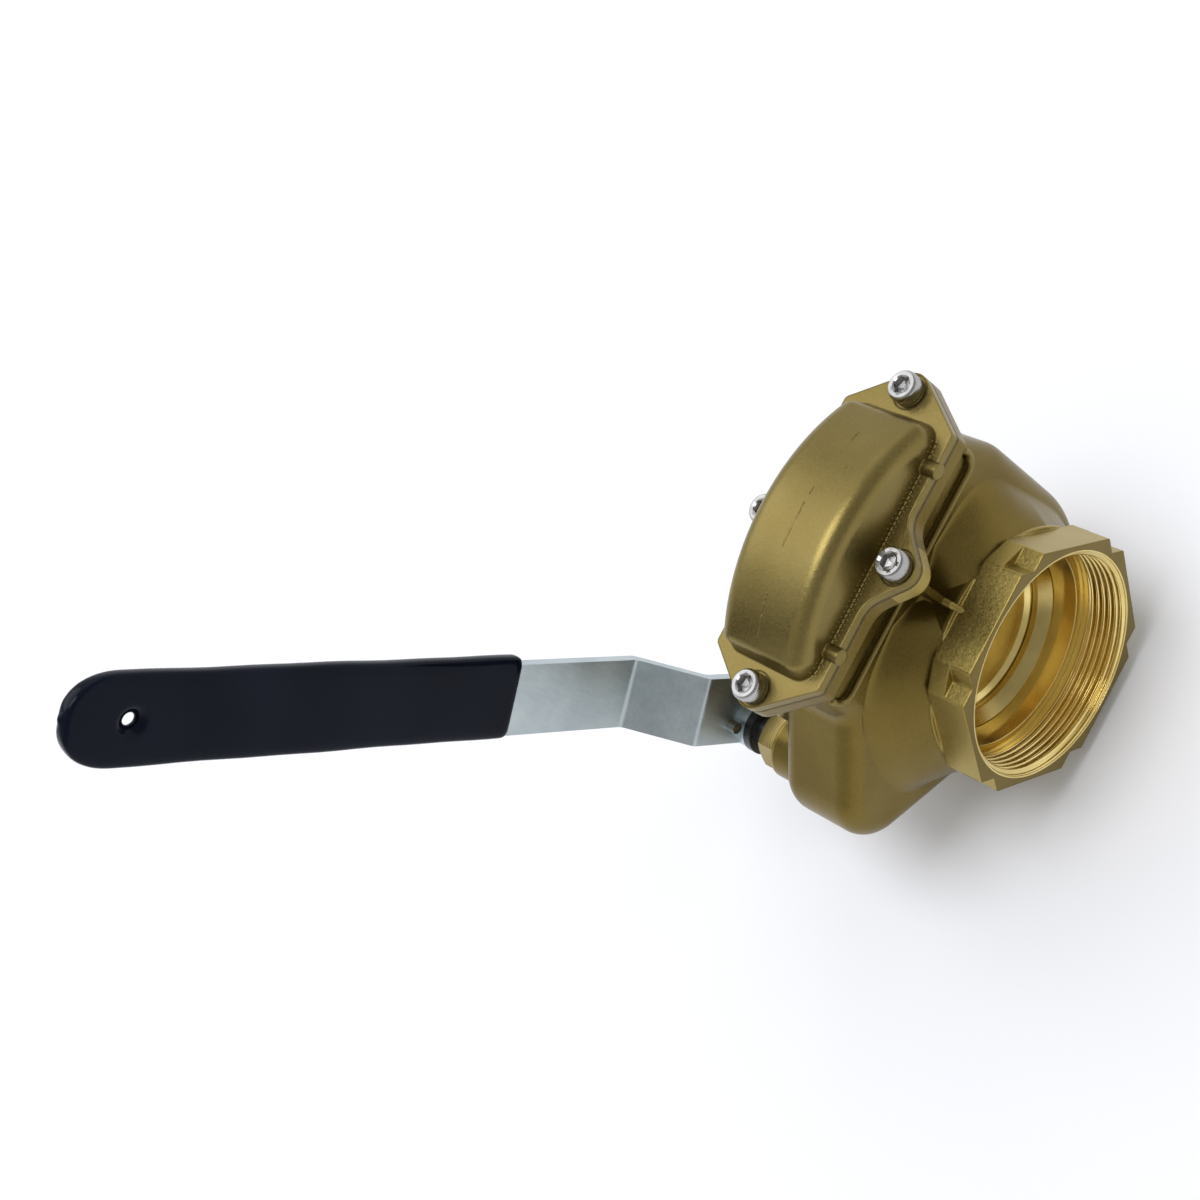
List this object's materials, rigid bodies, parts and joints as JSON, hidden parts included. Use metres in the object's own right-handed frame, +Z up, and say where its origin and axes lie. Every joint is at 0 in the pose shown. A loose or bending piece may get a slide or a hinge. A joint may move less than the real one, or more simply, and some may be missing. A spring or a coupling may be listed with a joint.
{
  "type": "lever operated gate valve",
  "caption": "Brass gate valve with threaded ends, a bolted arched bonnet and a side spindle whose cranked hand lever lifts the gate.",
  "frame": {"origin": "centre of the front port's mouth, on the pipe axis", "axes": "+Y along the pipe from the front port to the rear port, +Z up through the bonnet, +X along the bonnet joint's long side away from the spindle"},
  "size_m": [0.2083, 0.1129, 0.2871],
  "materials": {
    "cast_brass": "cast and blasted, matt",
    "turned_brass": "turned, bright",
    "stainless": "stainless steel, bright",
    "spindle_steel": "turned steel",
    "zinc_steel": "blue zinc plate",
    "crank_bronze": "cast bronze",
    "rubber": "nitrile rubber",
    "packing": "white packing",
    "gasket_fibre": "fibre sheet",
    "black_plastic": "black nylon",
    "grip_vinyl": "dipped vinyl, glossy"
  },
  "bodies": {
    "casing": {"valve_body": "cast_brass", "bonnet": "cast_brass", "bonnet_gasket": "gasket_fibre", "bonnet_screws": "stainless", "seat_ring_front": "turned_brass", "seat_ring_rear": "turned_brass", "seat_seal_front": "rubber", "seat_seal_rear": "rubber", "spindle_bush": "crank_bronze", "packing_washer": "turned_brass", "packing_rings": "packing", "gland_nut": "turned_brass"},
    "lever": {"spindle": "spindle_steel", "crank_arm": "crank_bronze", "crank_pin": "stainless", "crank_rollers": "crank_bronze", "thrust_ring": "black_plastic", "lever_collar": "zinc_steel", "lever_strip": "zinc_steel", "lever_grip": "grip_vinyl", "lever_washer": "zinc_steel", "lever_screw": "zinc_steel", "stop_pin": "zinc_steel"},
    "gate": {"gate_disc_front": "turned_brass", "gate_disc_rear": "turned_brass", "gate_springs": "stainless"}
  },
  "joints": [
    {"name": "lever_swing", "type": "hinge", "parent": "casing", "child": "lever", "pos_m": [-0.0595, 0.042, 0.006], "axis": [0, -1, 0], "range_deg": [0, 60]},
    {"name": "gate_lift", "type": "slide", "parent": "casing", "child": "gate", "axis": [0, 0, 1], "range_m": [0, 0.06]}
  ],
  "couplings": [
    {"joint": "gate_lift", "follows": "lever_swing", "m_per_rad": 0.05729}
  ]
}
